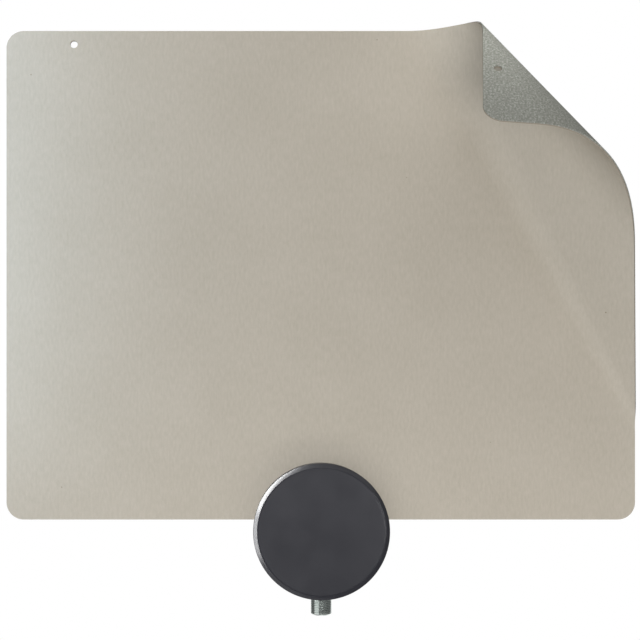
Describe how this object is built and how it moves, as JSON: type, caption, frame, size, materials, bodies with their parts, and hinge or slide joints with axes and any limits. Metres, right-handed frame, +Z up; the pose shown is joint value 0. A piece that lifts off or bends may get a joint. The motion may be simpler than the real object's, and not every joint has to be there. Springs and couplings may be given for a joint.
{
  "type": "flat indoor tv antenna",
  "caption": "Flat laminated sheet antenna with one corner curled over, clamped in a round housing at its lower edge, with a threaded coaxial port pointing down.",
  "frame": {"origin": "middle of the round housing's flat back, which lies against the wall", "axes": "+X to the right seen from the front, +Y into the wall, +Z up; the front faces -Y"},
  "size_m": [0.2921, 0.0619, 0.2697],
  "materials": {
    "beige_board": "matte",
    "grey_board": "matte",
    "charcoal_plastic": "satin",
    "bright_plating": "polished",
    "screw_steel": "satin",
    "foil": "satin",
    "board_laminate": "satin",
    "ferrite": "matte",
    "enamelled_wire": "gloss",
    "spring_brass": "satin",
    "white_plastic": "matte"
  },
  "bodies": {
    "root": {"front_skin": "beige_board", "antenna_foil": "foil", "back_skin": "grey_board", "front_cover": "charcoal_plastic", "rear_cover": "charcoal_plastic", "cover_screws": "screw_steel", "circuit_board": "board_laminate", "balun_core": "ferrite", "balun_winding": "enamelled_wire", "contact_spring_left": "spring_brass", "contact_spring_right": "spring_brass", "connector_body": "bright_plating", "connector_insulator": "white_plastic", "connector_contact": "spring_brass"}
  },
  "joints": []
}
